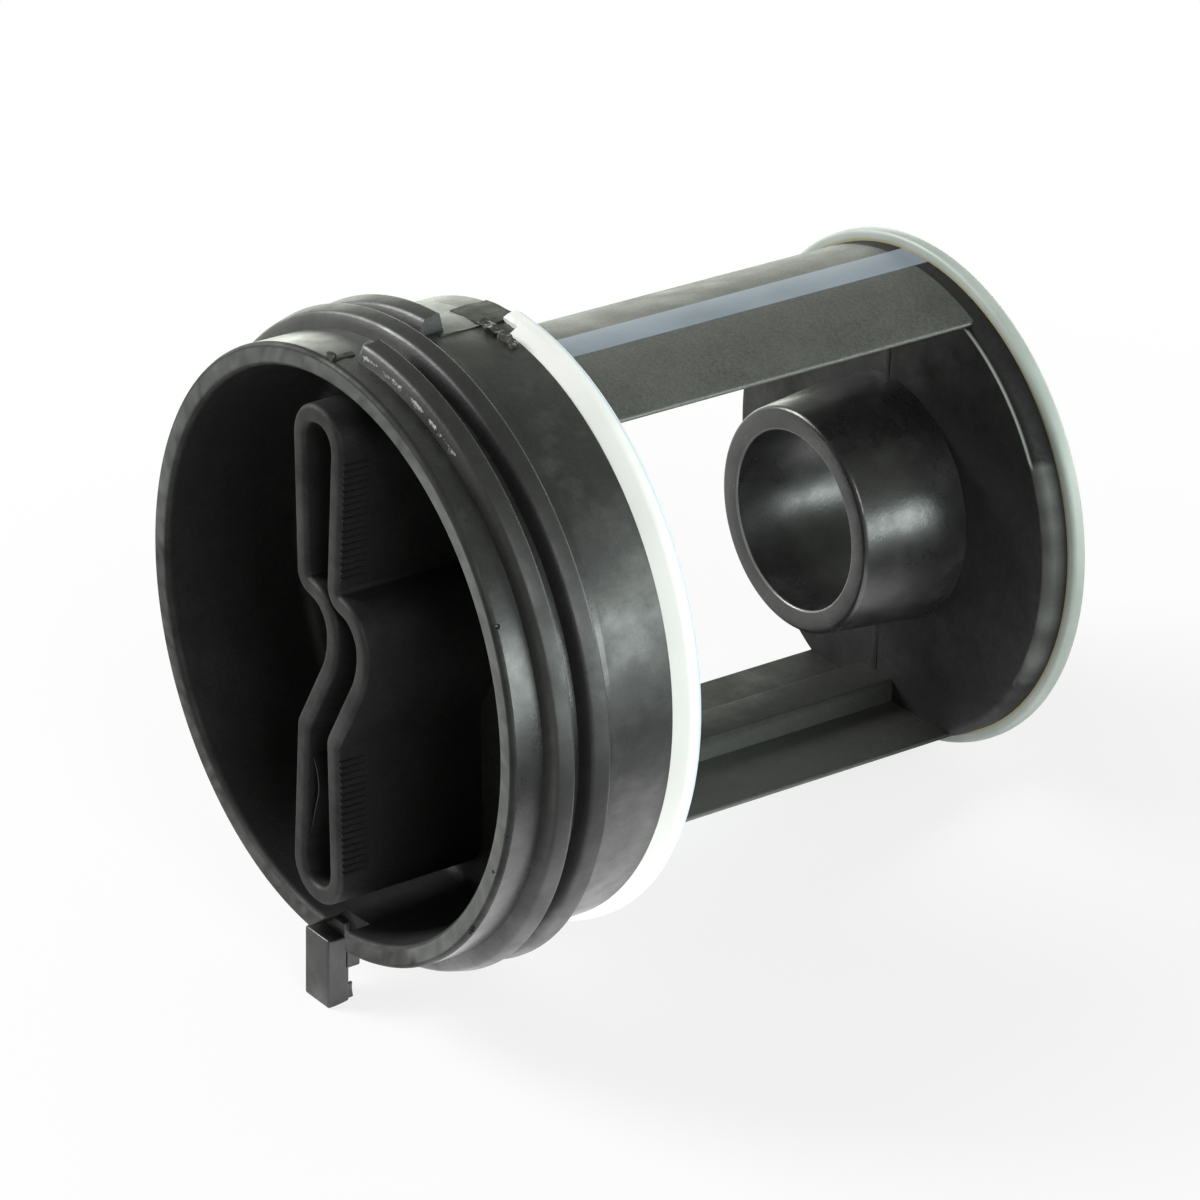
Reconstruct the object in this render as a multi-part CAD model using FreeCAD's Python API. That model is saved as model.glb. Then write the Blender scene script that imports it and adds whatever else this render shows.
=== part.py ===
import FreeCAD, Part
import math
import os

# Driving sizes in millimetres and degrees.
# Stations run along the filter's axis and count from the front rim towards the pump.

# Cap: an open cup with a smooth neck
rim_radius = 31.0
neck_taper = 0.1
cup_wall = 2.3
cup_draft = 0.5
cup_depth = 15.95
floor_wall = 2.4
cup_corner = 0.9
rim_bevel = 0.3

# Thread ridge: one start, right-hand, from a rounded nose at the top to a square end
thread_height = 2.0
thread_pitch = 4.05
thread_land = 1.75
thread_flank = 0.5
thread_bite = 0.25
thread_turns = 1.99
thread_start_station = 3.95
thread_start_angle = 86.5

# Stop tab below the rim, with the slanted notch in the rim above it
tab_width = 4.2
tab_offset = -2.25
tab_setback = 0.45
tab_drop = 0.3
tab_depth = 2.5
tab_reach = 7.9
tab_root_depth = 1.3
tab_root_reach = 4.0
tab_bevel = 0.25
notch_left = -3.3
notch_slant = 2.8
notch_right = 3.5
flash_wall = 0.3
flash_reach = 0.6
flash_height = 1.7

# Grip: a hollow loop across the cup, with a waist pushed to one side for the finger
grip_wall = 1.9
grip_offset = -0.25
grip_proud = 0.95
grip_end_gap = 1.75
grip_end_half = 3.3
grip_end_round = 3.0
grip_waist_half = 2.53
waist_top = 7.5
waist_low = -8.1
waist_shoulder = 6.25
waist_heel = 0.8
waist_push = 5.0
waist_break_round = 1.3
waist_shoulder_round = 3.8
waist_heel_round = 7.0
grip_bevel = 0.35

# Serrations on the grip's two outer faces
serration_pitch = 0.7
serration_width = 0.46
serration_height = 0.26
serration_first = 9.8

# Front seal, moulded into a rebate behind the neck
seal_front = 18.55
seal_width = 2.8
seal_crown = 1.3
seal_lip = 0.8
seal_depth = 2.3
collar_wall = 2.8

# Cage: two arms with a flat inner face, each with a runner channel backed by a rib
arm_wall = 3.25
arm_edge = 0.45
rib_width = 5.2
rib_height = 2.5
runner_width = 4.2
runner_depth = 2.4

# Slopes of the disc's front face, left by the two side cores that meet in its middle line
far_core_draft = 2.2
near_core_draft = 0.4

# Rear disc with its spigot and the rear seal
disc_front = 68.35
disc_wall = 2.6
disc_bevel = 0.55
spigot_wall = 2.0
spigot_step = 2.8
ring_lip = 1.2
ring_width = 1.5
ring_bevel = 0.3

# Outlet tube in the middle of the disc
tube_length = 11.8
tube_bore = 9.4
tube_mouth_radius = 11.85
tube_root_radius = 13.1
tube_bevel = 0.45

# How far joined shapes reach into each other before they are fused
weld = 0.6

# Sizes that follow from the ones above
cup_mouth = rim_radius - cup_wall
cup_foot = cup_mouth - cup_draft
neck_radius = rim_radius - neck_taper
floor_back = cup_depth + floor_wall
seal_back = seal_front + seal_width
seal_seat = neck_radius - seal_depth
seal_radius = neck_radius + seal_lip
arm_radius = seal_seat - collar_wall
arm_flat = arm_radius - arm_wall
arm_half_width = math.sqrt(arm_radius ** 2 - (arm_flat + arm_edge) ** 2)
ring_seat = arm_radius - spigot_step
ring_radius = arm_radius + ring_lip
grip_half_length = cup_foot - grip_end_gap - grip_wall / 2
disc_back = disc_front + disc_wall
spigot_back = disc_back + ring_width
tube_front = disc_front - tube_length
grip_front = -grip_proud
rim_bottom = -rim_radius
tab_back = tab_setback + tab_depth
datum = seal_back - seal_crown / 2


def point(x, y, z):
    return FreeCAD.Vector(x, y, z)


origin = point(0, 0, 0)
along_x = point(1, 0, 0)
along_y = point(0, 1, 0)


def polygon(points):
    """Flat face through the points, closed back to the first."""
    return Part.Face(Part.makePolygon(points + points[:1]))


def turned(profile):
    """Solid of revolution about the filter's axis from (radius, station) pairs."""
    return polygon([point(r, y, 0) for r, y in profile]).revolve(origin, along_y)


def block(x, y, z):
    """Box between two values on each axis."""
    size = [high - low for low, high in (x, y, z)]
    return Part.makeBox(*size, point(x[0], y[0], z[0]))


def rounded_loop(corners, y):
    """Closed wire of lines and arcs through (x, z, corner radius) at one station."""
    vertices = [point(x, y, z) for x, z, r in corners]
    bends = []
    for i, corner in enumerate(vertices):
        back = (vertices[i - 1] - corner).normalize()
        ahead = (vertices[(i + 1) % len(vertices)] - corner).normalize()
        half = back.getAngle(ahead) / 2
        radius = corners[i][2]
        reach = radius / math.tan(half)
        middle = (back + ahead).normalize() * (radius / math.sin(half) - radius)
        bends.append((corner + back * reach, corner + middle, corner + ahead * reach))
    edges = []
    for i, (start, middle, end) in enumerate(bends):
        edges.append(Part.makeLine(bends[i - 1][2], start))
        edges.append(Part.Arc(start, middle, end).toShape())
    return Part.Wire(edges)


def ring_edges(shape, radius, station):
    """Circular edges about the axis with this radius at this station."""
    found = []
    for edge in shape.Edges:
        curve = edge.Curve
        if isinstance(curve, Part.Circle) and math.isclose(curve.Radius, radius, abs_tol=1e-6):
            if math.isclose(curve.Center.y, station, abs_tol=1e-6):
                found.append(edge)
    return found


def mirrored_down(shape):
    """The same shape on the lower side of the filter."""
    return shape.mirror(origin, point(0, 0, 1))


def make_cap():
    cup = turned([
        (0, cup_depth), (cup_foot, cup_depth), (cup_mouth, 0), (rim_radius, 0),
        (neck_radius, seal_front), (seal_seat, seal_front), (seal_seat, seal_back),
        (arm_radius, seal_back), (arm_radius, floor_back), (0, floor_back),
    ])
    cup = cup.makeChamfer(cup_corner, ring_edges(cup, cup_foot, cup_depth))
    rims = ring_edges(cup, rim_radius, 0) + ring_edges(cup, cup_mouth, 0)
    return cup.makeChamfer(rim_bevel, rims)


def make_thread():
    """Trapezoid ridge swept along a helix, with a rounded nose at its start."""
    root = neck_radius - thread_bite
    crest = rim_radius + thread_height
    half_land = thread_land / 2
    spread = thread_flank * (crest - root) / thread_height
    half_root = half_land + spread
    helix = Part.makeHelix(thread_pitch, thread_pitch * thread_turns, rim_radius)
    profile = Part.makePolygon([
        point(root, 0, -half_root), point(crest, 0, -half_land), point(crest, 0, half_land),
        point(root, 0, half_root), point(root, 0, -half_root),
    ])
    ridge = Part.Wire(helix.Edges).makePipeShell([profile], True, True)
    nose = Part.makeCone(half_root, half_land, crest - root, point(root, 0, 0), along_x)
    ridge = ridge.fuse(nose)
    ridge.rotate(origin, along_x, -90)
    ridge.rotate(origin, along_y, -thread_start_angle)
    ridge.translate(along_y * thread_start_station)
    return ridge


def make_tab():
    left = tab_offset - tab_width / 2
    right = tab_offset + tab_width / 2
    low = rim_bottom - tab_reach
    plate = block((left, right), (tab_setback, tab_back), (low, rim_bottom - tab_drop))
    uprights = [e for e in plate.Edges if e.BoundBox.ZLength > tab_root_reach]
    lows = [e for e in plate.Edges if e.BoundBox.ZMax < rim_bottom - tab_root_reach]
    plate = plate.makeChamfer(tab_bevel, uprights + lows)
    root = block((left, right), (tab_back - weld, tab_back + tab_root_depth),
                 (rim_bottom - tab_root_reach, rim_bottom + cup_wall / 2))
    flash = block((right - tab_bevel - flash_wall, right - tab_bevel),
                  (tab_back - weld, tab_back + flash_reach),
                  (low + tab_bevel, low + tab_bevel + flash_height))
    return plate.fuse([root, flash])


def make_notch():
    """Room above the tab: its left wall leans inwards across the rim."""
    inner = notch_left + notch_slant
    top = rim_bottom + 2 * cup_wall
    outline = [
        (notch_left, rim_bottom - weld), (notch_left, rim_bottom), (inner, rim_bottom + cup_wall),
        (inner, top), (notch_right, top), (notch_right, rim_bottom - weld),
    ]
    return polygon([point(x, grip_front, z) for x, z in outline]).extrude(along_y * (tab_back - grip_front))


def make_grip():
    """Loop wall from the centre line, offset to both sides."""
    half = [
        (grip_end_half, grip_half_length, grip_end_round),
        (grip_waist_half, waist_top, waist_break_round),
        (grip_waist_half + waist_push, waist_shoulder, waist_shoulder_round),
        (grip_waist_half + waist_push, waist_heel, waist_heel_round),
        (grip_waist_half, waist_low, waist_break_round),
        (grip_end_half, -grip_half_length, grip_end_round),
    ]
    shift = [0, 0, waist_push, waist_push, 0, 0]
    far_half = [(2 * s - x, z, r) for (x, z, r), s in zip(half, shift)]
    centre = rounded_loop(half + far_half[::-1], grip_front)
    outer = centre.makeOffset2D(grip_wall / 2)
    inner = centre.makeOffset2D(-grip_wall / 2)
    height = cup_depth - grip_front
    wall = Part.Face(outer).extrude(along_y * (height + weld))
    wall = wall.cut(Part.Face(inner).extrude(along_y * height))
    front = [e for e in wall.Edges if e.BoundBox.YMax < grip_front + weld]
    return wall.makeChamfer(grip_bevel, front)


def make_serrations():
    """Small ridges across both outer faces of the two grip arms."""
    rise = grip_half_length - waist_top
    lean = (grip_end_half - grip_waist_half) / rise
    front = grip_front + grip_bevel
    count = int((grip_half_length - grip_end_round - serration_first) / serration_pitch)
    ridges = []
    for i in range(count):
        z = serration_first + i * serration_pitch
        x = grip_waist_half + lean * (z - waist_top) + grip_wall / 2
        tooth = polygon([
            point(x - serration_height, front, z - serration_width / 2),
            point(x + serration_height, front, z),
            point(x - serration_height, front, z + serration_width / 2),
        ]).extrude(along_y * (cup_depth + weld - front))
        for side in (tooth, tooth.mirror(origin, along_x)):
            ridges += [side, mirrored_down(side)]
    return ridges


def make_arm():
    """Upper arm: a slice of the cage cylinder with a flat inner face and a rib on it."""
    start = floor_back - weld
    length = disc_front + weld - start
    round_bar = Part.makeCylinder(arm_radius, length, along_y * start, along_y)
    limits = block((-arm_half_width, arm_half_width), (start, start + length), (arm_flat, arm_radius))
    rib = block((-rib_width / 2, rib_width / 2), (start, start + length),
                (arm_flat - rib_height, arm_flat + weld))
    return round_bar.common(limits).fuse(rib)


def make_rear():
    """Disc with the outlet tube in front of it and the seal spigot behind it."""
    blank = disc_front - weld
    disc = turned([
        (0, blank), (arm_radius, blank), (arm_radius, disc_back), (ring_seat, disc_back),
        (ring_seat, spigot_back), (ring_seat - spigot_wall, spigot_back),
        (ring_seat - spigot_wall, disc_back), (0, disc_back),
    ])
    far, near = [disc_front + arm_radius * math.tan(math.radians(draft))
                 for draft in (far_core_draft, near_core_draft)]
    roof = polygon([
        point(-arm_radius, far, -arm_radius), point(0, disc_front, -arm_radius),
        point(arm_radius, near, -arm_radius), point(arm_radius, spigot_back, -arm_radius),
        point(-arm_radius, spigot_back, -arm_radius),
    ]).extrude(point(0, 0, 2 * arm_radius))
    disc = disc.common(roof)
    front = [e for e in disc.Edges if e.BoundBox.YMax < disc_front + disc_wall / 2]
    disc = disc.makeChamfer(disc_bevel, [e for e in front if not isinstance(e.Curve, Part.Line)])
    tube = turned([(0, tube_front), (tube_mouth_radius, tube_front), (tube_root_radius, disc_front),
                   (tube_root_radius, disc_front + weld), (0, disc_front + weld)])
    tube = tube.makeChamfer(tube_bevel, ring_edges(tube, tube_mouth_radius, tube_front))
    return disc.fuse(tube)


def make_runner():
    """Strip in the upper arm's channel, from the front seal's rebate to the rear seal."""
    side = (-runner_width / 2, runner_width / 2)
    floor = arm_radius - runner_depth
    strip = block(side, (floor_back, disc_back + weld), (floor, seal_radius))
    strip = strip.common(Part.makeCylinder(arm_radius, spigot_back, origin, along_y))
    gate = block(side, (floor_back, seal_back), (floor, seal_radius))
    gate = gate.common(Part.makeCylinder(seal_seat + weld, spigot_back, origin, along_y))
    behind_neck = block(side, (floor_back, seal_front), (seal_seat, seal_radius))
    return strip.fuse(gate.cut(behind_neck))


def make_seal():
    """Both sealing rings and the two runners that join them, moulded in one shot."""
    front = turned([(seal_seat, seal_front), (neck_radius, seal_front),
                    (seal_radius, seal_back - seal_crown), (seal_radius, seal_back),
                    (seal_seat, seal_back)])
    rear = turned([(ring_seat, disc_back), (ring_radius, disc_back), (ring_radius, spigot_back),
                   (ring_seat, spigot_back)])
    edges = ring_edges(rear, ring_radius, disc_back) + ring_edges(rear, ring_radius, spigot_back)
    rear = rear.makeChamfer(ring_bevel, edges)
    runner = make_runner()
    return front.fuse([rear, runner, mirrored_down(runner)]).removeSplitter()


def make_body(seal):
    """The black moulding: everything in one piece, with the seal's room cut out of it."""
    arm = make_arm()
    cap = make_cap().fuse(make_thread()).cut(make_notch()).fuse(make_tab())
    grip = make_grip().fuse(make_serrations())
    grip.translate(along_x * grip_offset)
    cage = make_rear().fuse([arm, mirrored_down(arm)])
    bore = Part.makeCylinder(tube_bore, spigot_back, along_y * (tube_front - weld), along_y)
    return cap.fuse([grip, cage.cut(bore)]).cut(seal).removeSplitter()


seal = make_seal()
filter_body = make_body(seal)
os.makedirs("parts", exist_ok=True)
for name, shape in (("filter_body", filter_body), ("seal", seal)):
    placed = shape.Solids[0]
    placed.translate(along_y * -datum)
    placed.exportStep("parts/" + name + ".step")
    box = placed.BoundBox
    print(name, len(shape.Solids), placed.isValid(), round(placed.Volume, 1),
          [round(v, 2) for v in (box.XMin, box.YMin, box.ZMin, box.XMax, box.YMax, box.ZMax)])
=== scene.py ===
import math
import bmesh
import bpy
from mathutils import Matrix, Vector, noise


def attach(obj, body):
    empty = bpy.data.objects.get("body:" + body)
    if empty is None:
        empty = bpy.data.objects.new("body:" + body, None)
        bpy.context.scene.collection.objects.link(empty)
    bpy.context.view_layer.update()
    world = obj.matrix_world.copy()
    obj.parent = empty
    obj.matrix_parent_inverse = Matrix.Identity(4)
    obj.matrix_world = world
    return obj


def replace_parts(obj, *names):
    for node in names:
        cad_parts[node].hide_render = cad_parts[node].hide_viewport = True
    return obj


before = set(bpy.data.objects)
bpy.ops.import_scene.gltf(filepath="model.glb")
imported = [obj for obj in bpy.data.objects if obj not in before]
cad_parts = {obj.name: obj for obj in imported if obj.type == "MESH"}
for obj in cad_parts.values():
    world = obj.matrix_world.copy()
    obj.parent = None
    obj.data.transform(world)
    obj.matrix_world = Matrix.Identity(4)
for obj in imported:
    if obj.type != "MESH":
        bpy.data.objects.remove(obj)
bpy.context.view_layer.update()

# Sizes in millimetres. Stations run along the axis from the front rim towards the pump,
# and the datum is the station of the row's origin.
DATUM = 20.7
# Cup with its neck, and the notch above the stop tab
RIM, NECK, MOUTH, FOOT = 31.0, 30.9, 28.7, 28.2
CUP_DEPTH, FLOOR_BACK, CYLINDER_FRONT = 15.95, 18.35, 11.5
NOTCH_LEFT, NOTCH_RIGHT, NOTCH_TOP, NOTCH_LOW = -3.3, 3.5, -26.4, -31.6
# Thread ridge and stop tab
CREST, CREST_ROUND, PITCH, LAND, FLANK = 33.0, 0.28, 4.05, 1.75, 0.5
TURNS, LAND_FALL = 1.99, 0.45
THREAD_STATION, THREAD_ANGLE, THREAD_ROOT, SCUFF_TOP = 3.95, 86.5, 30.65, 31.7
TAB_LEFT, TAB_RIGHT, TAB_LOW, TAB_TOP = -4.35, -0.15, -38.9, -31.3
TAB_FRONT, TAB_BACK = 0.45, 2.95
# Finger grip with its serrations
GRIP_FRONT, GRIP_WALL, GRIP_SHIFT = -0.95, 1.9, -0.25
GRIP_HEIGHT, GRIP_END, GRIP_WAIST, GRIP_PUSH, WAIST_TOP = 25.5, 3.3, 2.53, 5.0, 7.5
TOOTH_COUNT, TOOTH_START, TOOTH_STEP, TOOTH_HEIGHT = 18, 9.8, 0.7, 0.24
# Front ring, and the angles of the gap beside the broken gate
SEAL_FRONT, SEAL_BACK, SEAL_SEAT, SEAL_RADIUS = 18.55, 21.35, 28.6, 31.7
PARTING, GAP_START, GAP_END, TEAR_START, TEAR_BACK = 88.5, 87.8, 128.0, 83.6, 20.0
# Cage arms with rib and runner
ARM, ARM_FLAT, ARM_HALF = 25.8, 22.55, 11.69
RIB_HALF, RIB_TOP = 2.6, 20.05
RUNNER_HALF, RUNNER_FLOOR = 2.1, 23.4
# Rear disc with its tube, spigot and ring
DISC_FRONT, DISC_BACK, SPIGOT_BACK = 68.35, 70.95, 72.45
RING_SEAT, RING, SPIGOT_BORE = 23.0, 27.0, 21.0
TUBE_FRONT, BORE, TUBE_MOUTH, TUBE_ROOT = 56.55, 9.4, 11.85, 13.1
FAR_DRAFT, NEAR_DRAFT = 2.2, 0.4

# Steps in a full turn, the angle that shades as an edge, and how near counts as touching
TURN_STEPS, CREASE, NEAR, SLIVER = 192, 32, 0.02, 0.004
AXIS = Vector((0, 1, 0))
TO_ROW = Matrix.Scale(0.001, 4) @ Matrix.Translation((0, -DATUM, 0))
# Torn edges come out the same on every run
noise.seed_set(5)


# Shapes

def turned(profile):
    """Closed (radius, station) profile spun once round the axis."""
    bm = bmesh.new()
    verts = [bm.verts.new((r, s, 0)) for r, s in profile]
    edges = [bm.edges.new((verts[i - 1], verts[i])) for i in range(len(verts))]
    bmesh.ops.spin(bm, geom=verts + edges, cent=(0, 0, 0), axis=AXIS, angle=2 * math.pi,
                   steps=TURN_STEPS, use_merge=True)
    bmesh.ops.remove_doubles(bm, verts=bm.verts, dist=0.002)
    bmesh.ops.recalc_face_normals(bm, faces=bm.faces)
    return bm


def extruded(corners, reach):
    """Prism from flat corners, drawn out along one vector."""
    bm = bmesh.new()
    face = bm.faces.new([bm.verts.new(c) for c in corners])
    draw_out(bm, [face], reach)
    return bm


def draw_out(bm, faces, reach):
    """Extrudes the faces into a closed solid."""
    made = bmesh.ops.extrude_face_region(bm, geom=faces, use_keep_orig=True)
    far = [v for v in made["geom"] if isinstance(v, bmesh.types.BMVert)]
    bmesh.ops.translate(bm, verts=far, vec=reach)
    bmesh.ops.recalc_face_normals(bm, faces=bm.faces)


def block(low, high):
    """Box between two corners."""
    bm = bmesh.new()
    middle = (Vector(low) + Vector(high)) / 2
    size = Matrix.Diagonal((*(Vector(high) - Vector(low)), 1))
    bmesh.ops.create_cube(bm, size=1, matrix=Matrix.Translation(middle) @ size)
    return bm


def rounded(bm, edges, width, segments=3):
    """Rounds the edges."""
    bmesh.ops.bevel(bm, geom=list(edges), offset=width, offset_type="OFFSET", affect="EDGES",
                    segments=segments, profile=0.5, material=-1, clamp_overlap=True)


def round_corners(bm, verts, width, segments):
    """Rounds the corners of a flat face."""
    bmesh.ops.bevel(bm, geom=verts, offset=width, offset_type="OFFSET", affect="VERTICES",
                    segments=segments, profile=0.5, material=-1)


def cleaned(bm):
    """Merges the slivers that a bevel leaves."""
    bmesh.ops.remove_doubles(bm, verts=bm.verts, dist=SLIVER)
    bmesh.ops.dissolve_degenerate(bm, dist=SLIVER, edges=bm.edges)
    bmesh.ops.recalc_face_normals(bm, faces=bm.faces)
    return bm


def ring_edges(bm, radius, station):
    """Edges of the circle with this radius at this station."""
    on = {v for v in bm.verts if abs(math.hypot(v.co.x, v.co.z) - radius) < NEAR
          and abs(v.co.y - station) < NEAR}
    return [e for e in bm.edges if e.verts[0] in on and e.verts[1] in on]


def as_mesh(bm, name):
    """Turns a finished shape into mesh data."""
    mesh = bpy.data.meshes.new(name)
    bm.to_mesh(mesh)
    bm.free()
    return mesh


def placed(name, data):
    """New object in the scene."""
    obj = bpy.data.objects.new(name, data)
    bpy.context.scene.collection.objects.link(obj)
    return obj


def joined(parts):
    """Several shapes as the shells of one mesh."""
    whole = bmesh.new()
    for part in parts:
        mesh = as_mesh(part, "part")
        whole.from_mesh(mesh)
        bpy.data.meshes.remove(mesh)
    return whole


def carved(bm, cutter):
    """The shape with the cutter's room taken out of it."""
    blank, tool = (placed(name, as_mesh(shape, name))
                   for name, shape in (("blank", bm), ("cutter", cutter)))
    cut = blank.modifiers.new("cut", "BOOLEAN")
    cut.operation, cut.object, cut.solver = "DIFFERENCE", tool, "EXACT"
    bpy.context.view_layer.update()
    result = bmesh.new()
    result.from_object(blank, bpy.context.evaluated_depsgraph_get())
    for obj in (blank, tool):
        mesh = obj.data
        bpy.data.objects.remove(obj)
        bpy.data.meshes.remove(mesh)
    return result


def add_piece(bm, name, finishes):
    """Puts a finished mesh into the row frame as one smooth-shaded piece."""
    bmesh.ops.transform(bm, matrix=TO_ROW, verts=bm.verts)
    mesh = as_mesh(bm, name)
    for finish in finishes:
        mesh.materials.append(finish)
    mesh.shade_smooth()
    mesh.set_sharp_from_angle(angle=math.radians(CREASE))
    obj = placed(name, mesh)
    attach(obj, "root")
    return obj


# Body of the filter

def make_cap():
    """Cup with its neck and the seat of the front ring, the notch above the tab and dents in the rim."""
    edge, step = 0.8, -0.5
    inner = MOUTH + (FOOT - MOUTH) * edge / CUP_DEPTH
    outer, middle = (RIM + (NECK - RIM) * s / SEAL_FRONT for s in (edge, CYLINDER_FRONT))
    cap = turned([(0, CUP_DEPTH), (FOOT, CUP_DEPTH), (inner, edge), (MOUTH, 0), (RIM, 0), (outer, edge),
                  (middle, CYLINDER_FRONT), (NECK, SEAL_FRONT), (SEAL_SEAT, SEAL_FRONT),
                  (SEAL_SEAT, SEAL_BACK), (ARM, SEAL_BACK), (ARM, FLOOR_BACK), (0, FLOOR_BACK)])
    for radius, station, width, segments in (
            (FOOT, CUP_DEPTH, 1.2, 4), (RIM, 0, 0.55, 5), (MOUTH, 0, 0.65, 5), (NECK, SEAL_FRONT, 0.15, 2)):
        rounded(cap, ring_edges(cap, radius, station), width, segments)
    notch = extruded([(x, GRIP_FRONT, z) for x, z in (
        (NOTCH_LEFT, NOTCH_LOW), (NOTCH_LEFT, -31.0), (step, -28.7), (step, NOTCH_TOP),
        (NOTCH_RIGHT, NOTCH_TOP), (NOTCH_RIGHT, NOTCH_LOW))], AXIS * (TAB_BACK - GRIP_FRONT))
    # Radius, station, angle and size of each dent
    nicks = [nick(*place) for place in (
        (31.05, 0.6, 27.6, 0.3), (30.7, 0.0, -11.6, 0.3), (30.2, -0.1, -20.7, 0.3),
        (30.8, 0.1, -36.0, 0.25), (30.85, 0.1, -37.0, 0.3), (30.9, 0.15, -38.0, 0.22))]
    return carved(cap, joined([notch, *nicks]))


def nick(radius, station, angle, size):
    """Small dent cutter at a place on the rim."""
    bm = bmesh.new()
    turn = Matrix.Rotation(math.radians(-angle), 4, "Y")
    bmesh.ops.create_icosphere(bm, subdivisions=2, radius=size,
                               matrix=turn @ Matrix.Translation((radius, station, 0)))
    return bm


def make_thread():
    """Ridge profile spun along a helix, with a rounded nose at its start."""
    half_land, front_crest = LAND / 2, CREST - LAND_FALL
    half_root = half_land + FLANK * (CREST - THREAD_ROOT) / 2
    half_scuff = half_root - FLANK * (SCUFF_TOP - THREAD_ROOT) / 2
    helix = bmesh.new()
    section = helix.faces.new([helix.verts.new((r, s, 0)) for r, s in (
        (THREAD_ROOT, -half_root), (SCUFF_TOP, -half_scuff), (front_crest, -half_land), (CREST, half_land),
        (THREAD_ROOT, half_root))])
    round_corners(helix, [v for v in section.verts if v.co.x > SCUFF_TOP + 0.1], CREST_ROUND, 3)
    steps = round(TURN_STEPS * TURNS)
    bmesh.ops.spin(helix, geom=helix.verts[:] + helix.edges[:] + helix.faces[:], cent=(0, 0, 0), axis=AXIS,
                   dvec=(0, PITCH * TURNS / steps, 0), angle=2 * math.pi * TURNS, steps=steps)
    bmesh.ops.recalc_face_normals(helix, faces=helix.faces)
    nose = bmesh.new()
    upright = (Matrix.Translation(((THREAD_ROOT + front_crest) / 2, 0, 0))
               @ Matrix.Rotation(math.radians(90), 4, "Y"))
    bmesh.ops.create_cone(nose, cap_ends=True, segments=64, radius1=half_root, radius2=half_land,
                          depth=front_crest - THREAD_ROOT, matrix=upright)
    rounded(nose, [e for e in nose.edges if all(v.co.x > front_crest - 0.01 for v in e.verts)], CREST_ROUND)
    whole = joined([helix, nose])
    turn = Matrix.Rotation(math.radians(-THREAD_ANGLE), 4, "Y")
    bmesh.ops.transform(whole, matrix=Matrix.Translation((0, THREAD_STATION, 0)) @ turn, verts=whole.verts)
    return whole


def make_tab():
    """Stop tab, its root on the neck and the torn flash on its lower corner."""
    plate = block((TAB_LEFT, TAB_FRONT, TAB_LOW), (TAB_RIGHT, TAB_BACK, TAB_TOP))
    rounded(plate, plate.edges[:], 0.25)
    root = block((TAB_LEFT, TAB_BACK - 0.6, -RIM - 4), (TAB_RIGHT, TAB_BACK + 1.3, -RIM + 1.15))
    rounded(root, root.edges[:], 0.2)
    flash = block((TAB_RIGHT - 0.55, TAB_BACK - 0.6, TAB_LOW + 0.25),
                  (TAB_RIGHT - 0.2, TAB_BACK + 0.55, TAB_LOW + 1.95))
    ragged(flash, 0.18, 1.1)
    return [plate, root, flash]


def ragged(bm, reach, grain):
    """Breaks a shape's outline up as torn plastic."""
    bmesh.ops.subdivide_edges(bm, edges=bm.edges[:], cuts=5, use_grid_fill=True)
    for v in bm.verts:
        v.co += noise.noise_vector(v.co / grain) * reach


def grip_loop():
    """Outer corners of the grip wall as (x, z, corner radius): its centre line moved out by half a wall."""
    pushed = GRIP_WAIST + GRIP_PUSH
    near = [(GRIP_END, GRIP_HEIGHT, 3.0), (GRIP_WAIST, WAIST_TOP, 1.3), (pushed, 6.25, 3.8),
            (pushed, 0.8, 7.0), (GRIP_WAIST, -8.1, 1.3), (GRIP_END, -GRIP_HEIGHT, 3.0)]
    shift = [0, 0, GRIP_PUSH, GRIP_PUSH, 0, 0]
    far = [(2 * s - x, z, r) for (x, z, r), s in zip(near, shift)]
    line = near + far[::-1]
    points = [Vector((x, z)) for x, z, r in line]
    reach = GRIP_WALL / 2
    outer = []
    for i, here in enumerate(points):
        before = (here - points[i - 1]).normalized()
        after = (points[(i + 1) % len(points)] - here).normalized()
        first, second = Vector((-before.y, before.x)), Vector((-after.y, after.x))
        corner = here + (first + second) * (reach / (1 + first.dot(second)))
        bend = reach if before.cross(after) < 0 else -reach
        outer.append((corner.x, corner.y, max(line[i][2] + bend, 0.5)))
    return outer


def make_grip():
    """Hollow loop: rounded outline, inset by the wall, drawn back to the cup's floor."""
    corners = grip_loop()
    bm = bmesh.new()
    verts = [bm.verts.new((x + GRIP_SHIFT, GRIP_FRONT, z)) for x, z, r in corners]
    bm.faces.new(verts)
    for i, v in enumerate(verts):
        back = Vector(corners[i - 1][:2]) - Vector(corners[i][:2])
        ahead = Vector(corners[(i + 1) % len(corners)][:2]) - Vector(corners[i][:2])
        reach = corners[i][2] / math.tan(back.angle(ahead) / 2)
        round_corners(bm, [v], reach, 10)
    pocket = bm.faces[:][0]
    wall = bmesh.ops.inset_region(bm, faces=[pocket], thickness=GRIP_WALL, use_even_offset=True,
                                  use_boundary=True)["faces"]
    bmesh.ops.delete(bm, geom=[pocket], context="FACES_ONLY")
    draw_out(bm, wall, AXIS * (CUP_DEPTH + 0.6 - GRIP_FRONT))
    front = [e for e in bm.edges if all(v.co.y < GRIP_FRONT + 0.01 for v in e.verts)
             and any(abs(f.normal.y) < 0.5 for f in e.link_faces)]
    rounded(bm, front, 0.55, 4)
    return bm


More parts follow.
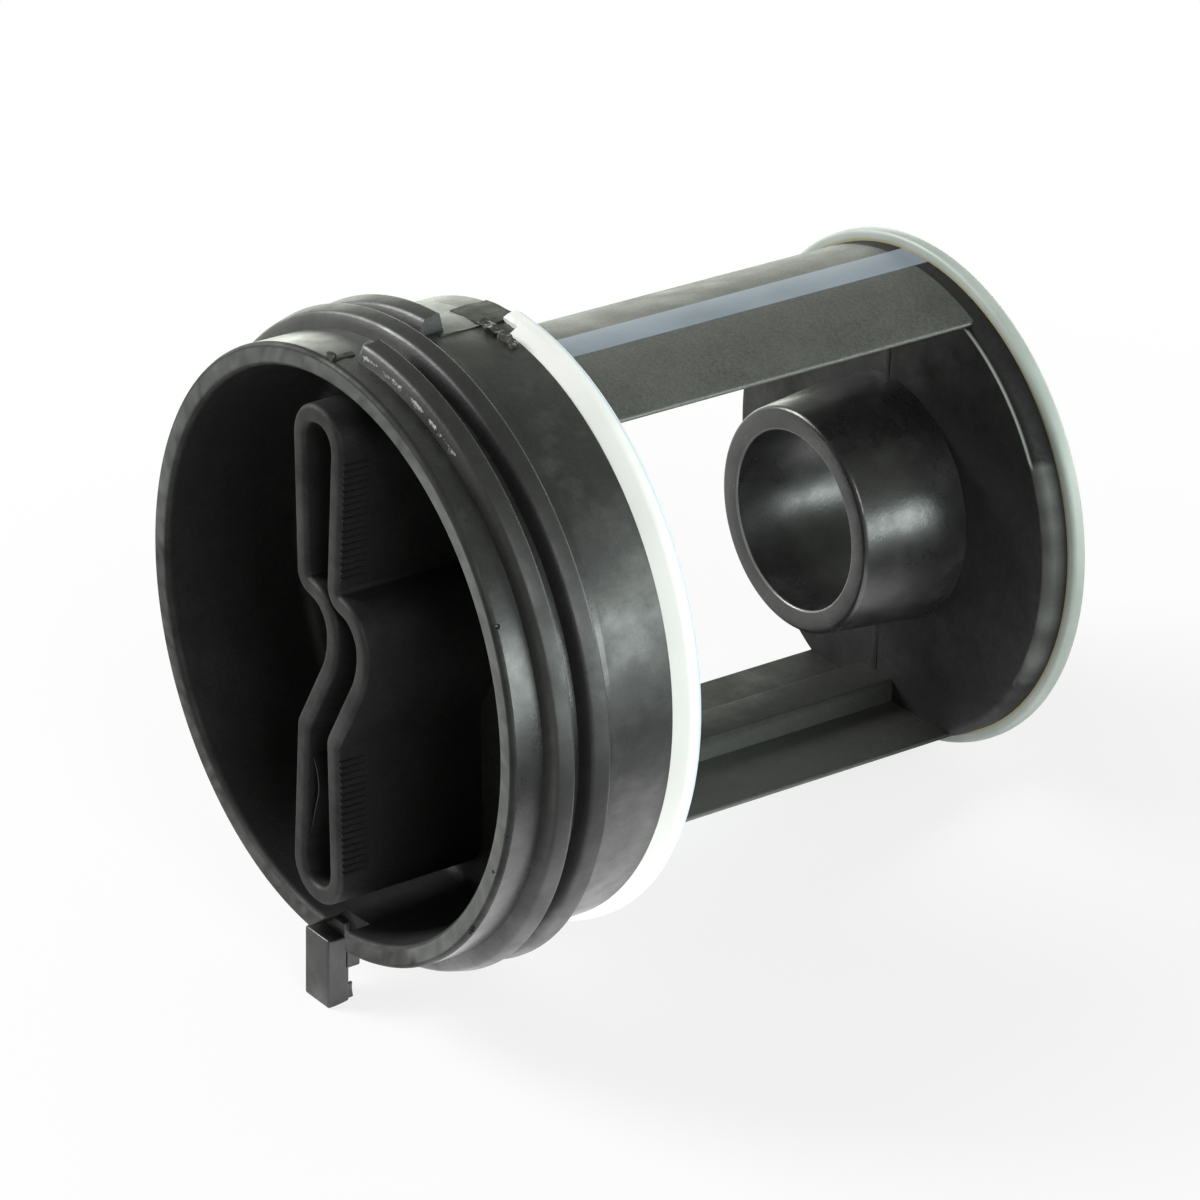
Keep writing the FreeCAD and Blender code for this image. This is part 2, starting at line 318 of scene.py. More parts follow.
def make_film():
    """Thin curl of moulding film left in the grip's lower pocket."""
    film = bmesh.new()
    face = film.faces.new([film.verts.new((x, GRIP_FRONT + 0.7, z)) for x, z in (
        (-2.6, -10.4), (-0.2, -13.0), (-2.9, -22.6))])
    round_corners(film, [v for v in face.verts if v.co.x > -1], 2.4, 12)
    middle = film.faces[:]
    bmesh.ops.inset_region(film, faces=middle, thickness=0.16, use_even_offset=True, use_boundary=True)
    bmesh.ops.delete(film, geom=middle, context="FACES_ONLY")
    draw_out(film, film.faces[:], AXIS * 2.5)
    return film


def make_serrations():
    """Small ridges across the grip's right outer face, running out towards the back."""
    teeth = []
    for i in range(TOOTH_COUNT):
        z = TOOTH_START + i * TOOTH_STEP
        share = (z - WAIST_TOP) / (GRIP_HEIGHT - WAIST_TOP)
        x = GRIP_WAIST + (GRIP_END - GRIP_WAIST) * share + GRIP_WALL / 2 + GRIP_SHIFT
        for height in (z, -z):
            tooth = extruded([(x + dx, GRIP_FRONT + 0.35, height + dz) for dx, dz in (
                (-0.2, -0.28), (TOOTH_HEIGHT, -0.1), (TOOTH_HEIGHT, 0.1), (-0.2, 0.28))], AXIS * 3)
            deep = [v for v in tooth.verts if v.co.y > GRIP_FRONT + 2]
            bmesh.ops.translate(tooth, verts=deep, vec=(-TOOTH_HEIGHT, 0, 0))
            teeth.append(tooth)
    return teeth


def sector(profile, start, end, steps):
    """Closed (radius, station) profile spun between two angles, in degrees from +X towards +Z."""
    bm = bmesh.new()
    face = bm.faces.new([bm.verts.new((r, s, 0)) for r, s in profile])
    turn = Matrix.Rotation(math.radians(-end), 4, "Y")
    bmesh.ops.transform(bm, matrix=turn, verts=bm.verts)
    bmesh.ops.spin(bm, geom=face.verts[:] + face.edges[:] + [face], cent=(0, 0, 0), axis=AXIS,
                   angle=math.radians(end - start), steps=steps)
    bmesh.ops.recalc_face_normals(bm, faces=bm.faces)
    return bm


def make_parting_line():
    """Fine flash along the mould's parting line on the cylinder."""
    front, back, root, top = 12.4, 17.6, NECK - 0.3, NECK + 0.12
    wide = math.degrees(0.16 / NECK)
    line = sector([(root, front), (top, front), (top, back), (root, back)], PARTING - wide, PARTING + wide, 2)
    ragged(line, 0.12, 0.8)
    return line


def make_flash():
    """Torn burr and bar of flash on the neck, in front of the thread's start."""
    burr = block((-0.45, 0.35, NECK - 0.3), (0.35, 0.85, NECK + 0.8))
    ragged(burr, 0.22, 0.6)
    bar = block((-0.35, 0.8, NECK - 0.4), (0.35, 3.2, NECK + 0.25))
    ragged(bar, 0.15, 0.9)
    return [burr, bar]


def make_gate():
    """Broken gate in the gap of the front ring, with its torn lip."""
    patch_root, lip_root = 30.3, 30.6
    patch = sector([(patch_root, 17.2), (NECK + 0.05, 17.1), (NECK + 0.2, 19.0), (NECK + 0.15, SEAL_BACK),
                    (patch_root, SEAL_BACK)], GAP_START, 98.0, 8)
    ragged(patch, 0.08, 1.5)
    lip = sector([(lip_root, 17.2), (31.2, 17.1), (31.35, 17.9), (lip_root, 18.2)], 79.0, 89.5, 8)
    ragged(lip, 0.32, 0.9)
    return [patch, lip]


def make_saddle():
    """Plain part of the cylinder where the front ring is missing beside the gate and torn short of it."""
    front = SEAL_FRONT - 0.3
    return joined([
        sector([(SEAL_SEAT, front), (NECK, front), (NECK, back), (SEAL_SEAT, back)], first, last, 12)
        for first, last, back in ((GAP_START, GAP_END, SEAL_BACK), (TEAR_START, GAP_START, TEAR_BACK))])


def arc_points(bm, radius, start, end, station, steps):
    """Vertices along an arc from start to end, in degrees from +Z towards +X."""
    turn = math.radians(start)
    first = bm.verts.new((radius * math.sin(turn), station, radius * math.cos(turn)))
    bmesh.ops.spin(bm, geom=[first], cent=(0, 0, 0), axis=AXIS, angle=math.radians(end - start),
                   steps=steps)


def make_arm():
    """Upper arm: curved outside with the runner channel, flat inside with the rib."""
    bm = bmesh.new()
    start, end = FLOOR_BACK - 0.6, DISC_FRONT + 0.87
    edge = math.degrees(math.asin(ARM_HALF / ARM))
    channel = math.degrees(math.asin((RUNNER_HALF + 0.06) / ARM))
    arc_points(bm, ARM, -edge, -channel, start, 16)
    arc_points(bm, ARM, channel, edge, start, 16)
    outline = sorted(bm.verts, key=lambda v: v.co.x)
    left, right = [v for v in outline if v.co.x < 0], [v for v in outline if v.co.x > 0]
    dip = [bm.verts.new((x, start, RUNNER_FLOOR)) for x in (left[-1].co.x, right[0].co.x)]
    inside = [bm.verts.new((x, start, z)) for x, z in (
        (ARM_HALF, ARM_FLAT), (RIB_HALF, ARM_FLAT), (RIB_HALF, RIB_TOP), (-RIB_HALF, RIB_TOP),
        (-RIB_HALF, ARM_FLAT), (-ARM_HALF, ARM_FLAT))]
    face = bm.faces.new(left + dip + right + inside)
    draw_out(bm, [face], AXIS * (end - start))
    long = [e for e in bm.edges if abs(e.verts[0].co.y - e.verts[1].co.y) > 10]
    rounded(bm, [e for e in long if abs(e.verts[0].co.x) > ARM_HALF - 0.01], 0.3)
    rounded(bm, [e for e in long if e.is_valid and abs(e.verts[0].co.z) < RIB_TOP + 0.01], 0.3)
    return cleaned(bm)


def turned_down(bm):
    """A copy of an upper shape on the lower side."""
    low = bm.copy()
    bmesh.ops.scale(low, vec=(1, 1, -1), verts=low.verts)
    bmesh.ops.reverse_faces(low, faces=low.faces)
    return low


def make_rear():
    """Disc with the outlet tube and the spigot; its front slopes to both sides of the middle line."""
    rear = turned([(BORE, TUBE_FRONT), (TUBE_MOUTH, TUBE_FRONT), (TUBE_ROOT, DISC_FRONT),
                   (ARM - 1.1, DISC_FRONT), (ARM, DISC_FRONT), (ARM, DISC_BACK), (RING_SEAT, DISC_BACK),
                   (RING_SEAT, SPIGOT_BACK), (SPIGOT_BORE, SPIGOT_BACK), (SPIGOT_BORE, DISC_BACK),
                   (BORE, DISC_BACK)])
    for v in rear.verts:
        if abs(v.co.y - DISC_FRONT) < 0.01:
            draft = NEAR_DRAFT if v.co.x > 0 else FAR_DRAFT
            v.co.y += abs(v.co.x) * math.tan(math.radians(draft))
    rim = [e for e in rear.edges if all(abs(math.hypot(v.co.x, v.co.z) - ARM) < NEAR
                                        and v.co.y < DISC_FRONT + 1.2 for v in e.verts)]
    rounded(rear, rim, 0.85, 4)
    rounded(rear, ring_edges(rear, TUBE_MOUTH, TUBE_FRONT), 0.5, 4)
    rounded(rear, ring_edges(rear, BORE, TUBE_FRONT), 0.25, 3)
    return rear


def make_core_lines():
    """Low step on the disc's middle line, where the two side cores met."""
    lines = []
    for low, high in ((-20.0, -12.6), (12.6, 20.0)):
        line = block((-0.9, DISC_FRONT - 0.06, low), (-0.05, DISC_FRONT + 0.5, high))
        rounded(line, line.edges[:], 0.04, 2)
        lines.append(line)
    return lines


# Seal

def make_front_ring():
    """Ring with its gap beside the gate; its end next to the gate is torn down to the back half."""
    crown = SEAL_BACK - 1.3
    outer = [(SEAL_RADIUS, crown), (SEAL_RADIUS, SEAL_BACK - 0.5), (SEAL_RADIUS, SEAL_BACK),
             (SEAL_SEAT, SEAL_BACK)]
    whole = sector([(SEAL_SEAT, SEAL_FRONT), (NECK - 0.1, SEAL_FRONT), *outer],
                   GAP_END - 360, TEAR_START, 168)
    torn_end = sector([(SEAL_SEAT, TEAR_BACK - 0.1), (SEAL_RADIUS - 0.34, TEAR_BACK - 0.5), *outer],
                      TEAR_START - 0.2, GAP_START + 0.1, 8)
    for part in (whole, torn_end):
        edges = [e for station in (crown, SEAL_BACK) for e in ring_edges(part, SEAL_RADIUS, station)]
        rounded(part, edges, 0.25)
    ragged(torn_end, 0.07, 0.9)
    return joined([whole, torn_end])


def make_rear_ring():
    """Ring round the spigot; its front has an extra row where it meets the disc, for the yellowed line."""
    ring = turned([(RING_SEAT, DISC_BACK), (ARM + 0.15, DISC_BACK), (ARM + 0.4, DISC_BACK),
                   (RING, DISC_BACK), (RING, SPIGOT_BACK), (RING_SEAT, SPIGOT_BACK)])
    rounded(ring, ring_edges(ring, RING, DISC_BACK) + ring_edges(ring, RING, SPIGOT_BACK), 0.45, 4)
    return ring


def make_runner():
    """Strip in the arm's channel, flush with the arm."""
    bm = bmesh.new()
    start = SEAL_BACK - 0.3
    edge = math.degrees(math.asin(RUNNER_HALF / ARM))
    arc_points(bm, ARM + 0.02, -edge, edge, start, 8)
    top = sorted(bm.verts, key=lambda v: v.co.x)
    floor = [bm.verts.new((x, start, RUNNER_FLOOR)) for x in (RUNNER_HALF, -RUNNER_HALF)]
    face = bm.faces.new(top + floor)
    draw_out(bm, [face], AXIS * (DISC_BACK + 0.3 - start))
    return bm


# Finishes

def linear(code):
    """sRGB hex code as a linear colour."""
    parts = [int(code[i:i + 2], 16) / 255 for i in (0, 2, 4)]
    return tuple(c / 12.92 if c <= 0.04045 else ((c + 0.055) / 1.055) ** 2.4 for c in parts) + (1.0,)


def node(tree, kind, inputs=(), **settings):
    """Adds one node: settings by attribute, inputs by name or number as a value or a linked socket."""
    made = tree.nodes.new(kind)
    for key, value in settings.items():
        setattr(made, key, value)
    for key, value in dict(inputs).items():
        if isinstance(value, bpy.types.NodeSocket):
            tree.links.new(value, made.inputs[key])
        else:
            made.inputs[key].default_value = value
    return made


def cleared(owner):
    """The emptied node tree of a material or a world."""
    owner.use_nodes = True
    owner.node_tree.nodes.clear()
    return owner.node_tree


def new_finish(name):
    """Empty material with its shader and object coordinates ready."""
    mat = bpy.data.materials.new(name)
    tree = cleared(mat)
    shader = node(tree, "ShaderNodeBsdfPrincipled")
    node(tree, "ShaderNodeOutputMaterial", {"Surface": shader.outputs["BSDF"]})
    where = node(tree, "ShaderNodeTexCoord").outputs["Object"]
    return mat, tree, shader, where


def finish_surface(tree, shader, colour, gloss, reliefs):
    """Joins the colour, the gloss and the (height, depth in metres) reliefs to the shader."""
    tree.links.new(colour, shader.inputs["Base Color"])
    tree.links.new(gloss, shader.inputs["Roughness"])
    for height, depth in reliefs:
        bump = node(tree, "ShaderNodeBump", {"Height": height, "Distance": depth})
        if shader.inputs["Normal"].is_linked:
            tree.links.new(shader.inputs["Normal"].links[0].from_socket, bump.inputs["Normal"])
        tree.links.new(bump.outputs["Normal"], shader.inputs["Normal"])


def black_polypropylene(name, dark, light, rough, depth, sheen, haze):
    """Injection-moulded black polypropylene: satin where the tool was polished, matt where it was eroded.
    A flow mottle makes the sheen blotchy, dust lies on it in clouds, fine grain breaks up the highlights,
    rubbed edges turn grey, torn places show pale specks, and painted light pales some marked places."""
    mat, tree, shader, where = new_finish(name)
    # (feature size in millimetres, detail, roughness): flow mottle, grain in the tone, torn chips,
    # waves of shrinkage, tool texture and dust; grain and texture are drawn coarser than real to show
    mottle, grain, chips, waves, texture, clouds = (
        node(tree, "ShaderNodeTexNoise", {"Vector": where, "Scale": 1000 / size, "Detail": detail,
                                          "Roughness": coarse}).outputs["Fac"]
        for size, detail, coarse in ((5.0, 6.0, 0.68), (0.3, 1.0, 0.6), (0.45, 4.0, 0.7),
                                   (4.0, 0.0, 0.6), (0.35, 3.0, 0.6), (3.2, 5.0, 0.65)))
    wear_stain_and_painted_light, specks = (node(tree, "ShaderNodeAttribute", attribute_name=layer).outputs["Fac"]
                   for layer in ("wear_stain_and_painted_light", "specks"))
    both = node(tree, "ShaderNodeMath", {0: mottle, 1: grain}, operation="ADD").outputs[0]
    torn_out = node(tree, "ShaderNodeMath", {0: chips, 1: specks}, operation="ADD").outputs[0]
    # (level, its span, what the span gives): tone, dust, chips, roughness, strength of the sheen
    tone, dust, chipped, gloss, shine = (
        node(tree, "ShaderNodeMapRange", {"Value": level, "From Min": low, "From Max": high,
                                          "To Min": first, "To Max": last}).outputs["Result"]
        for level, low, high, first, last in (
            (both, 0.75, 1.25, 0, 1), (clouds, 0.5, 0.72, 0, haze), (torn_out, 1.03, 1.2, 0, 0.75),
            (mottle, 0.3, 0.7, rough - 0.08, rough + 0.1), (mottle, 0.3, 0.7, sheen + 0.2, sheen - 0.2)))
    # Wear, dust and, in some marked places, painted light and highlights pale the colour
    wear_dust_and_painted_light = node(tree, "ShaderNodeMath", {0: wear_stain_and_painted_light, 1: dust}, operation="ADD").outputs[0]
    colour = linear(dark)
    for share, over in ((tone, light), (wear_dust_and_painted_light, "d5d9d4"), (chipped, "c4c8c1")):
        colour = node(tree, "ShaderNodeMix", {0: share, 6: colour, 7: linear(over)},
                      data_type="RGBA").outputs[2]
    finish_surface(tree, shader, colour, gloss, ((waves, 0.00008), (texture, depth)))
    tree.links.new(shine, shader.inputs["Specular IOR Level"])
    shader.inputs["IOR"].default_value = 1.49
    return mat


def pale_elastomer(name, dark, light, edge, rough):
    """Moulded thermoplastic elastomer: milky and matt with faint clouds, its edges tinted."""
    mat, tree, shader, where = new_finish(name)
    cloud, texture = (
        node(tree, "ShaderNodeTexNoise", {"Vector": where, "Scale": 1000 / size, "Detail": 3.0,
                                          "Roughness": 0.6}).outputs["Fac"]
        for size in (9.0, 0.6))
    wear_stain_and_painted_light = node(tree, "ShaderNodeAttribute", attribute_name="wear_stain_and_painted_light").outputs["Fac"]
    tone, gloss = (
        node(tree, "ShaderNodeMapRange", {"Value": cloud, "From Min": 0.3, "From Max": 0.7,
                                          "To Min": first, "To Max": last}).outputs["Result"]
        for first, last in ((0, 1), (rough - 0.05, rough + 0.05)))
    colour = linear(dark)
    for share, over in ((tone, light), (wear_stain_and_painted_light, edge)):
        colour = node(tree, "ShaderNodeMix", {0: share, 6: colour, 7: linear(over)},
                      data_type="RGBA").outputs[2]
    finish_surface(tree, shader, colour, gloss, ((texture, 0.000006),))
    shader.inputs["IOR"].default_value = 1.48
    return mat


# Put together

def with_wear_and_painted_light(bm, rule):
    """Marks how specked and how rubbed each place is, and where light, shade or a highlight is painted, from
    its radius, station and angle.
    """
    layers = [bm.verts.layers.float.new(name) for name in ("specks", "wear_stain_and_painted_light")]
    for v in bm.verts:
        angle = math.degrees(math.atan2(v.co.z, v.co.x))
        for layer, level in zip(layers, rule(math.hypot(v.co.x, v.co.z), v.co.y, angle)):
            v[layer] = level
    return bm


def rim_wear(radius, station, angle):
    """The rim is rubbed, most on its right side."""
    if station > 0.4 or not MOUTH + 0.3 < radius < RIM - 0.5:
        return 0.0, 0.0
    level = 0.14 if abs(angle) < 60 else 0.09 if angle > 0 else 0.04
    return 0.0, level + 0.08 * noise.noise((angle / 1.7, radius, 0))


def thread_wear(radius, station, angle):
    """The flank of the ridge's first stretch is chipped."""
    if not 58 < angle < 91 or station > THREAD_STATION or abs(radius - SCUFF_TOP) > 0.1:
        return 0.0, 0.0
    return 0.6 + 0.4 * noise.noise((angle / 2.2, 0, 0)), 0.0


def disc_wear_and_painted_highlight(radius, station, angle):
    """A painted highlight rings the tube's mouth. A thin near-white line runs along the disc's rim from 28 to
    62 degrees, and the rim's right part below it is rubbed.
    """
    # Painted highlight on the bore's edge at the tube's mouth
    if station < TUBE_FRONT + 0.3 and BORE + 0.02 < radius < BORE + 0.2:
        return 0.0, 0.3
    if station > DISC_FRONT + 1.4 or radius < ARM - 1.0:
        return 0.0, 0.0
    # Near-white line along the rim between 28 and 62 degrees
    if 28 < angle < 62:
        return 0.0, 0.9 if radius < ARM - 0.7 else 0.0
    return 0.0, 0.1 + 0.1 * noise.noise((angle / 6, 3, 0)) if -30 < angle <= 28 else 0.0


def lip_wear(radius, station, angle):
    """The gate's torn lip is specked."""
    return 0.5 if 17 < station < 18.3 and angle < 90 else 0.0, 0.0


def lower_arm_painted_glow(radius, station, angle):
    """Painted light: the front ring's glow on the lower arm's near end, most beside the rib, fading
    rearwards.
    """
    x, z = radius * math.cos(math.radians(angle)), radius * math.sin(math.radians(angle))
    if station > SEAL_BACK:
        return 0.0, 0.0
    return 0.0, 0.22 if x > RIB_HALF - 0.1 and z < 0.05 - ARM_FLAT else 0.09


def upper_arm_near_end_tone(radius, station, angle):
    """The near end of the upper arm is a little lighter, fading towards the disc."""
    return 0.0, 0.035 if station < SEAL_BACK else 0.0


def front_ring_painted_edge_shade(radius, station, angle):
    """Painted shade, with a bluish cast, along the front ring's back edge."""
    return 0.0, 1.0 if station > SEAL_BACK - 0.3 and radius > SEAL_RADIUS - 0.4 else 0.0


def rear_tint(radius, station, angle):
    """Tint where the rear ring meets the disc."""
    return 0.0, 1.0 if radius < ARM + 0.2 and station < DISC_BACK + 0.1 else 0.0


def parted(bm):
    """Gives the rim, the notch and the cup's inside the second finish, and the cylinder behind the thread
    the third."""
    for face in bm.faces:
        middle = face.calc_center_median()
        radius = math.hypot(middle.x, middle.z)
        in_notch = (middle.y < TAB_BACK + 0.1 and middle.z < NOTCH_TOP + 0.4
                    and NOTCH_LEFT - 0.1 < middle.x < NOTCH_RIGHT + 0.1)
        in_cup = radius < MOUTH and middle.y < CUP_DEPTH + 0.1
        if middle.y < 0.6 or in_notch or in_cup:
            face.material_index = 1
        elif radius > MOUTH and middle.y > CYLINDER_FRONT:
            face.material_index = 2
    return bm


def faced(bm):
    """Gives the disc's front and its edge the second finish."""
    for face in bm.faces:
        middle = face.calc_center_median()
        radius = math.hypot(middle.x, middle.z)
        in_front = face.normal.y < -0.95 and radius > TUBE_ROOT
        if in_front or radius > ARM - 0.9:
            face.material_index = 1
    return bm


# Clear reflections with soft ends
satin = black_polypropylene("polished_black_polypropylene", "1a1a1a", "252525",
                            rough=0.3, depth=0.000012, sheen=0.9, haze=0.025)
# Deep black that hardly mirrors anything
soft = black_polypropylene("textured_black_polypropylene", "131313", "1f1f1f",
                           rough=0.6, depth=0.00002, sheen=0.42, haze=0.005)
# Broad, cloudy highlights where hands and the housing rub
dull = black_polypropylene("handled_black_polypropylene", "1a1a1a", "272727",
                           rough=0.38, depth=0.000014, sheen=0.7, haze=0.035)
# Grey sheen without an edge on the ridge
ridge = black_polypropylene("tumbled_black_polypropylene", "191919", "242424",
                            rough=0.44, depth=0.00002, sheen=0.76, haze=0.01)
# Grainy charcoal, as spark-eroded steel leaves it
matt = black_polypropylene("eroded_black_polypropylene", "30312e", "4e4f4b",
                           rough=0.5, depth=0.000024, sheen=0.95, haze=0.015)
# The same grain with painted shade: a darker copy of the eroded finish for the lower arm, which lies in shade
dark = black_polypropylene("shaded_eroded_black_polypropylene", "1a1b19", "2b2c29",
                           rough=0.6, depth=0.000024, sheen=0.35, haze=0.01)
# Broken faces with an olive cast
torn = black_polypropylene("torn_black_polypropylene", "20211a", "30312a",
                           rough=0.55, depth=0.00004, sheen=0.7, haze=0.02)
arm = make_arm()
cap = parted(with_wear_and_painted_light(joined([make_cap(), make_parting_line()]), rim_wear))
rear = faced(with_wear_and_painted_light(joined([make_rear(), *make_core_lines()]), disc_wear_and_painted_highlight))
body = (
    ("threaded_cap", [satin, soft, dull], cap),
    ("thread_ridge", [ridge], with_wear_and_painted_light(make_thread(), thread_wear)),
    ("stop_tab", [ridge], joined(make_tab())),
    ("finger_grip", [soft], joined([make_grip(), make_film(), *make_serrations()])),
    ("broken_gate", [torn], with_wear_and_painted_light(joined([*make_gate(), *make_flash()]), lip_wear)),
    ("gate_saddle", [dull], make_saddle()),
    # The lower arm takes the painted-shade finish, with a painted glow at its near end
    ("lower_cage_arm", [dark], with_wear_and_painted_light(turned_down(arm), lower_arm_painted_glow)),
    ("upper_cage_arm", [matt], with_wear_and_painted_light(arm, upper_arm_near_end_tone)),
    ("rear_disc_and_tube", [satin, soft], rear),
)
for name, finishes, shape in body:
    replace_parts(add_piece(shape, name, finishes), "filter_body")

# Opaque white; its bluish back edge is painted shade
white = pale_elastomer("moulded_white_elastomer", "f0f0ee", "f7f7f5", edge="c6d3de", rough=0.5)
# Milky grey-green, yellowed where it meets the disc
milky = pale_elastomer("moulded_milky_elastomer", "a6aea8", "b7bfba", edge="a59e7e", rough=0.45)
# Blue-grey, since the black arm shows through the thin strip
thin = pale_elastomer("thin_elastomer_over_black", "77828f", "8994a1", edge="77828f", rough=0.4)
runner = make_runner()
seal = (
    ("front_seal_ring", white, with_wear_and_painted_light(make_front_ring(), front_ring_painted_edge_shade)),
    ("rear_seal_ring", milky, with_wear_and_painted_light(make_rear_ring(), rear_tint)),
    ("seal_runners", thin, joined([turned_down(runner), runner])),
)
for name, finish, shape in seal:
    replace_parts(add_piece(shape, name, [finish]), "seal")


# Floor, light and camera

# How bright the room is: the band's upper edge, its levels, and the ceiling from dim to less dim
BAND_EDGE, FRONT_LEVEL, BACK_LEVEL, RIGHT_LEVEL = (0.055, 0.23), 0.5, 2.8, 3.6
CEILING = (0.22, 0.48)
# Pools of light on the floor: centre and reach in millimetres, strength
POOLS = (((26, 6), (32, 41), 1.5), ((-5, 82), (35, 28), 0.9))
# Radius of the floor in millimetres, and where it turns white, in metres from its middle
FLOOR_RADIUS, FADE_START, FADE_END = 230, 0.05, 0.13


def pool(tree, where, centre, reach, level):
    """Pool of light on the floor, fading out at its edge; sizes in millimetres."""
    middle = (-centre[0] / 1000, -centre[1] / 1000, 0)
    away = node(tree, "ShaderNodeVectorMath", {0: where, 1: middle}, operation="ADD").outputs[0]
    share = node(tree, "ShaderNodeVectorMath", {0: away, 1: (1000 / reach[0], 1000 / reach[1], 0)},
                 operation="MULTIPLY").outputs[0]
    far = node(tree, "ShaderNodeVectorMath", {0: share}, operation="LENGTH").outputs["Value"]
    return node(tree, "ShaderNodeMapRange", {"Value": far, "From Min": 0.8, "From Max": 1.25,
                                             "To Min": level, "To Max": 0.0}).outputs["Result"]


def make_stage():
    """Pale round sheet that the stop tab and the rear ring rest on. The camera sees it fade into white;
    the object mirrors the pools of light and a painted shadow, the sheet's right-back half in grey."""
    tab, ring = Vector((0, -20.25, -38.95)), Vector((0, 51.0, -27.05))
    tilt = math.atan2(ring.z - tab.z, ring.y - tab.y)
    bm = bmesh.new()
    middle = Vector((0, 16, 0))
    middle.z = tab.z + (middle.y - tab.y) * math.tan(tilt)
    place = Matrix.Scale(0.001, 4) @ Matrix.Translation(middle) @ Matrix.Rotation(tilt, 4, "X")
    bmesh.ops.create_circle(bm, cap_ends=True, segments=96, radius=FLOOR_RADIUS, matrix=place)
    mesh = as_mesh(bm, "floor")
    floor = placed("floor", mesh)
    mat = bpy.data.materials.new("white_studio_paper")
    tree = cleared(mat)
    pale = linear("f2f2f2")
    paper = node(tree, "ShaderNodeBsdfDiffuse", {"Color": pale})
    glow = node(tree, "ShaderNodeEmission", {"Strength": 1.0})
    where = node(tree, "ShaderNodeTexCoord").outputs["Object"]
    far = node(tree, "ShaderNodeVectorMath", {0: where, 1: middle / 1000},
               operation="DISTANCE").outputs["Value"]
    seen = node(tree, "ShaderNodeLightPath").outputs["Is Camera Ray"]
    fade = node(tree, "ShaderNodeMapRange", {"Value": far, "From Min": FADE_START, "From Max": FADE_END,
                                             "To Min": 0.8, "To Max": 1.0}).outputs["Result"]
    near_pool, far_pool = (pool(tree, where, *shape) for shape in POOLS)
    level = node(tree, "ShaderNodeMath", {0: near_pool, 1: far_pool}, operation="ADD").outputs[0]
    lit = node(tree, "ShaderNodeEmission", {"Strength": level})
    # Painted shadow: to the object's reflections the sheet's right-back half is grey, where its shadow falls
    side = node(tree, "ShaderNodeVectorMath", {0: where, 1: (0.8, 0.6, 0)},
                operation="DOT_PRODUCT").outputs["Value"]
    turn = node(tree, "ShaderNodeMapRange", {"Value": side, "From Min": -0.02,
                                             "From Max": 0.005}).outputs["Result"]
    shade = node(tree, "ShaderNodeMix", {0: turn, 6: pale, 7: linear("969696")}, data_type="RGBA").outputs[2]
    table = node(tree, "ShaderNodeBsdfDiffuse", {"Color": shade})
    under = node(tree, "ShaderNodeAddShader", {0: table.outputs[0], 1: lit.outputs[0]})
    shown = node(tree, "ShaderNodeMixShader", {0: fade, 1: paper.outputs[0], 2: glow.outputs[0]})
    mix = node(tree, "ShaderNodeMixShader", {0: seen, 1: under.outputs[0], 2: shown.outputs[0]})
    node(tree, "ShaderNodeOutputMaterial", {"Surface": mix.outputs[0]})
    mesh.materials.append(mat)


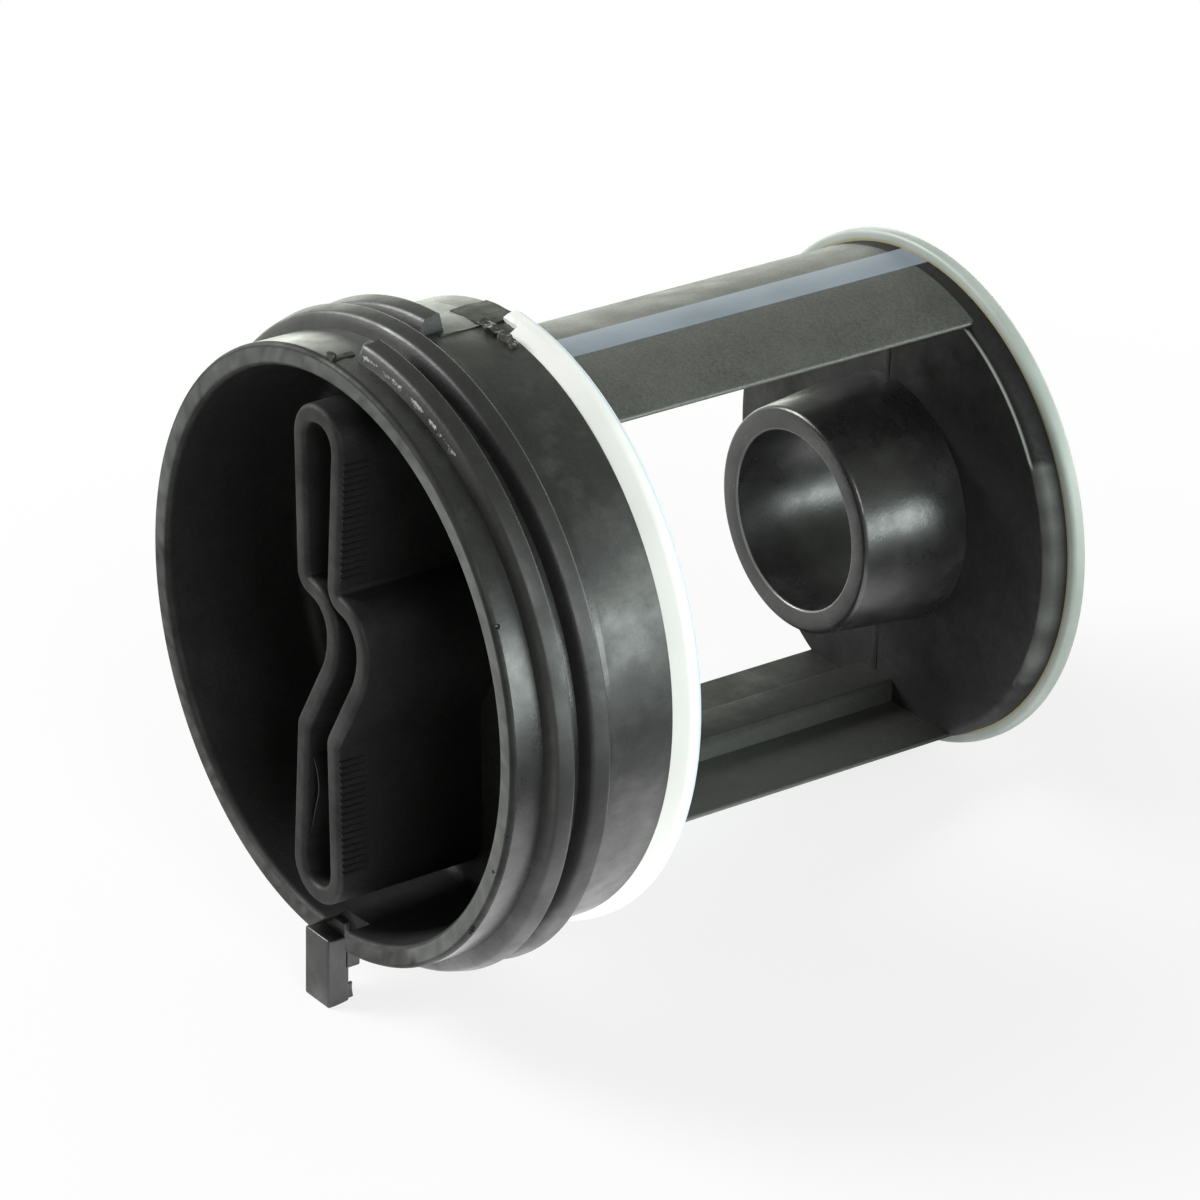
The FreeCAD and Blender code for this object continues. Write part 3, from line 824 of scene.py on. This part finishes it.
def make_world():
    """White to the camera; to the object a bright band along the horizon, strongest and coolest behind it
    on the right, under a dim ceiling."""
    world = bpy.data.worlds.new("studio")
    bpy.context.scene.world = world
    tree = cleared(world)
    where = node(tree, "ShaderNodeTexCoord").outputs["Generated"]

    def towards(direction, start, end, low, high):
        """Level that goes from low to high as the view turns towards the direction."""
        along = node(tree, "ShaderNodeVectorMath", {0: where, 1: direction},
                     operation="DOT_PRODUCT").outputs["Value"]
        return node(tree, "ShaderNodeMapRange", {"Value": along, "From Min": start, "From Max": end,
                                                 "To Min": low, "To Max": high}).outputs["Result"]

    band = towards((-0.03, -0.165, 0.985), *BAND_EDGE, 1.0, 0.0)
    back = towards((0, 1, 0), -0.2, 0.3, FRONT_LEVEL, BACK_LEVEL)
    right = towards((0.84, 0.54, 0), 0.62, 0.92, 0.0, RIGHT_LEVEL)
    ceiling = towards((-0.8, 0.6, 0), 0.2, 0.8, *CEILING)
    room = node(tree, "ShaderNodeMath", {0: back, 1: band, 2: ceiling}, operation="MULTIPLY_ADD").outputs[0]
    window = node(tree, "ShaderNodeMath", {0: right, 1: band}, operation="MULTIPLY").outputs[0]
    warm = node(tree, "ShaderNodeBackground", {"Color": linear("f9fff2"), "Strength": room})
    cool = node(tree, "ShaderNodeBackground", {"Color": linear("eefdff"), "Strength": window})
    both = node(tree, "ShaderNodeAddShader", {0: warm.outputs[0], 1: cool.outputs[0]})
    white = node(tree, "ShaderNodeBackground", {"Color": (1, 1, 1, 1), "Strength": 1.0})
    seen = node(tree, "ShaderNodeLightPath").outputs["Is Camera Ray"]
    mix = node(tree, "ShaderNodeMixShader", {0: seen, 1: both.outputs[0], 2: white.outputs[0]})
    node(tree, "ShaderNodeOutputWorld", {"Surface": mix.outputs[0]})


def add_lamp(name, aim, distance, size, power):
    """Soft area lamp along a direction from the object, facing it."""
    lamp = bpy.data.lights.new(name, "AREA")
    lamp.shape, lamp.size, lamp.size_y, lamp.energy = "RECTANGLE", size[0], size[1], power
    obj = placed(name, lamp)
    direction = Vector(aim).normalized()
    obj.location = direction * distance
    obj.rotation_euler = direction.to_track_quat("Z", "Y").to_euler()


def make_camera():
    """Long lens from the front right and above, as fitted to the photo."""
    around, above, roll = (math.radians(turn) for turn in (53.462, 25.702, 1.304))
    camera = bpy.data.cameras.new("photo_camera")
    camera.sensor_width, camera.lens = 36, 180
    camera.clip_end = 20
    obj = placed("photo_camera", camera)
    turn = (Matrix.Rotation(around, 4, "Z") @ Matrix.Rotation(math.pi / 2 - above, 4, "X")
            @ Matrix.Rotation(roll, 4, "Z"))
    obj.matrix_world = Matrix.Translation((0.429838, -0.306637, 0.25499)) @ turn
    bpy.context.scene.camera = obj


make_stage()
make_world()
add_lamp("key_softbox", aim=(-0.72, -0.5, 0.5), distance=1.2, size=(0.5, 0.5), power=15)
add_lamp("fill_softbox", aim=(0.9, -0.25, 0.55), distance=1.2, size=(0.4, 0.4), power=4)
make_camera()
bpy.context.scene.view_settings.view_transform = "Standard"
